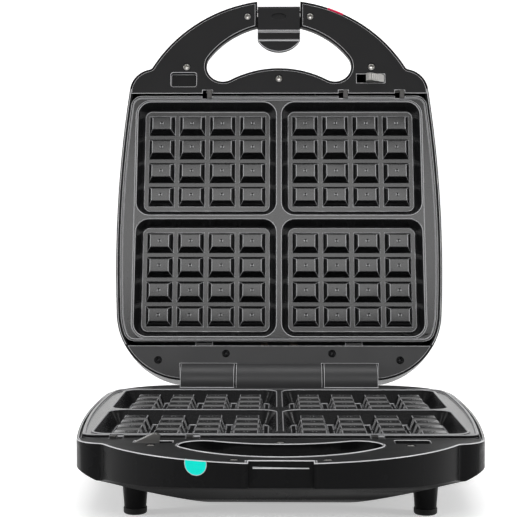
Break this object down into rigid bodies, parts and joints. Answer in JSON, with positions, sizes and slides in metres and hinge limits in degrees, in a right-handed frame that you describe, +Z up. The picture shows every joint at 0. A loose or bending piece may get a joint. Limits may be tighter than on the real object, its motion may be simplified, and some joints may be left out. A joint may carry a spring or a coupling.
{
  "type": "multi snack maker",
  "caption": "Countertop snack maker: hinged halves with waffle plates, sprung plate catches, arched carrying handle, front latch, heaters and feet.",
  "frame": {"origin": "on the table, under the middle of the open object's bounding box", "axes": "+X to the right seen from the front, +Y to the back, +Z up; the front handle points to -Y"},
  "size_m": [0.265, 0.4278, 0.3662],
  "materials": {
    "black_shell": "moulded black plastic, semi gloss",
    "dark_cover": "moulded black plastic, fine matt texture",
    "grey_hinge_cover": "moulded dark grey plastic, satin",
    "nonstick": "cast aluminium with a dark non-stick coat, semi gloss",
    "bright_steel": "bright plated steel",
    "black_steel": "black oxide steel",
    "plain_steel": "bare sheet steel",
    "heater_steel": "stainless heater sheath, dulled by heat",
    "cyan_lens": "clear cyan plastic lens",
    "red_lens": "clear red plastic lens",
    "lamp_glass": "small neon lamp",
    "rubber_foot": "black rubber",
    "white_block": "white heat-proof plastic",
    "lead_sleeve": "glass braid sleeve",
    "black_gland": "black nylon"
  },
  "bodies": {
    "base": {"base_shell": "black_shell", "base_handle_cover": "dark_cover", "base_hinge_cover": "grey_hinge_cover", "base_cover_screws": "bright_steel", "base_rear_screws": "black_steel", "base_plate": "nonstick", "base_reflector": "plain_steel", "base_reflector_screws": "plain_steel", "base_heater": "heater_steel", "base_heater_brackets": "plain_steel", "base_thermostat": "plain_steel", "base_thermal_fuse": "plain_steel", "base_leads": "lead_sleeve", "base_release_spring": "plain_steel", "terminal_block": "white_block", "cord_gland": "black_gland", "bottom_cover": "black_shell", "bottom_screws": "black_steel", "foot_front_left": "rubber_foot", "foot_front_right": "rubber_foot", "foot_back_left": "rubber_foot", "foot_back_right": "rubber_foot", "hinge_rod": "plain_steel", "hinge_washers": "black_gland", "ready_lens": "cyan_lens", "ready_lamp": "lamp_glass"},
    "lid": {"lid_shell": "black_shell", "lid_handle_cover": "dark_cover", "lid_hinge_cover": "grey_hinge_cover", "lid_cover_screws": "bright_steel", "lid_rear_screws": "black_steel", "lid_plate": "nonstick", "lid_reflector": "plain_steel", "lid_reflector_screws": "plain_steel", "lid_heater": "heater_steel", "lid_heater_brackets": "plain_steel", "lid_thermostat": "plain_steel", "lid_thermal_fuse": "plain_steel", "lid_leads": "lead_sleeve", "lid_release_spring": "plain_steel", "power_lens": "red_lens", "power_lamp": "lamp_glass", "latch_pin": "plain_steel"},
    "base_release": {"base_catch_bar": "plain_steel", "base_release_lever": "bright_steel"},
    "lid_release": {"lid_catch_bar": "plain_steel", "lid_release_lever": "bright_steel"},
    "latch": {"latch": "black_shell"}
  },
  "joints": [
    {"name": "lid_hinge", "type": "hinge", "parent": "base", "child": "lid", "pos_m": [0, 0.11119, 0.0525], "axis": [1, 0, 0], "range_deg": [0, 105]},
    {"name": "latch_hinge", "type": "hinge", "parent": "lid", "child": "latch", "pos_m": [0, 0.199, 0.35819], "axis": [-1, 0, 0], "range_deg": [0, 120]},
    {"name": "base_release_slide", "type": "slide", "parent": "base", "child": "base_release", "axis": [1, 0, 0], "range_m": [0, 0.0035], "stiffness_N_per_m": 300, "springref_m": -0.004, "deforming": ["base_release_spring"]},
    {"name": "lid_release_slide", "type": "slide", "parent": "lid", "child": "lid_release", "axis": [-1, 0, 0], "range_m": [0, 0.0035], "stiffness_N_per_m": 300, "springref_m": -0.004, "deforming": ["lid_release_spring"]}
  ]
}
